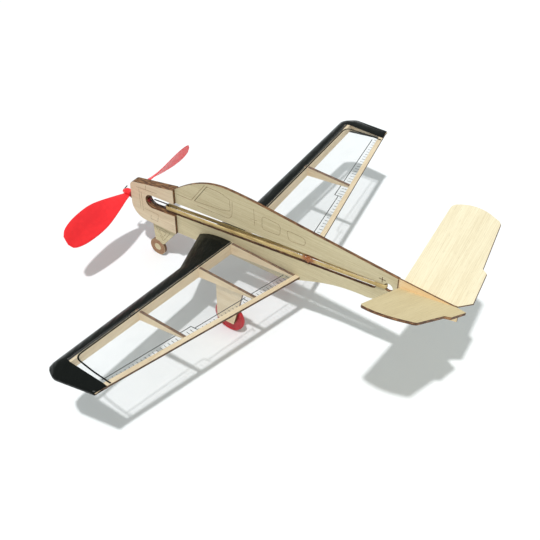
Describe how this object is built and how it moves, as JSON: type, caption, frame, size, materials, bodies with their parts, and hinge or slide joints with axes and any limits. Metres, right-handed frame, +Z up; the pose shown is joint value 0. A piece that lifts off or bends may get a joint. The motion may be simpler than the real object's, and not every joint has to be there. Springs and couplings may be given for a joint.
{
  "type": "rubber band plane",
  "caption": "Free-flight model aeroplane of flat balsa sheet with a film-covered wing, a V-tail, disc wheels and a propeller driven by a knotted rubber strip",
  "frame": {"origin": "middle of the bottom of the whole model's box, on the plane that the wheels stand on", "axes": "+X to the port wing tip, -Y towards the nose and propeller, +Z up"},
  "size_m": [0.307, 0.2548, 0.0975],
  "materials": {
    "balsa": "laser-cut balsa sheet, unfinished, with burnt brown edges",
    "tail_balsa": "thin pale balsa sheet, unfinished, with burnt brown edges",
    "printed_film": "thin clear film printed glossy black, with clear areas between the printing",
    "red_propeller": "moulded red plastic, smooth",
    "red_bearing": "moulded dark red plastic",
    "red_wheel": "moulded red plastic, satin",
    "steel_wire": "drawn steel wire, blackened",
    "washer": "small stamped washer, worn smooth",
    "rubber_strip": "flat natural rubber strip, dusted matte"
  },
  "bodies": {
    "airframe": {"fuselage": "balsa", "tail_mount": "tail_balsa", "nose_bearing": "red_bearing", "rubber_motor": "rubber_strip", "nose_doubler_port": "balsa", "tail_plate_port": "tail_balsa", "wing_spar_port": "balsa", "wing_leading_edge_port": "balsa", "wing_trailing_edge_port": "balsa", "wing_tip_port": "balsa", "wing_film_upper_port": "printed_film", "wing_film_lower_port": "printed_film", "main_gear_strut_port": "balsa", "main_axle_port": "steel_wire", "root_rib_port": "balsa", "middle_rib_port": "balsa", "outer_rib_port": "balsa", "tip_rib_port": "balsa", "nose_doubler_starboard": "balsa", "tail_plate_starboard": "tail_balsa", "wing_spar_starboard": "balsa", "wing_leading_edge_starboard": "balsa", "wing_trailing_edge_starboard": "balsa", "wing_tip_starboard": "balsa", "wing_film_upper_starboard": "printed_film", "wing_film_lower_starboard": "printed_film", "main_gear_strut_starboard": "balsa", "main_axle_starboard": "steel_wire", "root_rib_starboard": "balsa", "middle_rib_starboard": "balsa", "outer_rib_starboard": "balsa", "tip_rib_starboard": "balsa"},
    "propeller": {"propeller": "red_propeller", "prop_shaft": "steel_wire", "thrust_washer": "washer"},
    "port_wheel": {"main_wheel_port": "red_wheel"},
    "starboard_wheel": {"main_wheel_starboard": "red_wheel"}
  },
  "joints": [
    {"name": "propeller_spin", "type": "hinge", "parent": "airframe", "child": "propeller", "pos_m": [0, -0.12084, 0.0426], "axis": [0, 0.9948, 0.1019], "continuous": true, "deforming": ["rubber_motor"]},
    {"name": "port_wheel_spin", "type": "hinge", "parent": "airframe", "child": "port_wheel", "pos_m": [0.02845, -0.01474, 0.011], "axis": [1, 0, 0], "continuous": true},
    {"name": "starboard_wheel_spin", "type": "hinge", "parent": "airframe", "child": "starboard_wheel", "pos_m": [-0.02845, -0.01474, 0.011], "axis": [1, 0, 0], "continuous": true}
  ]
}
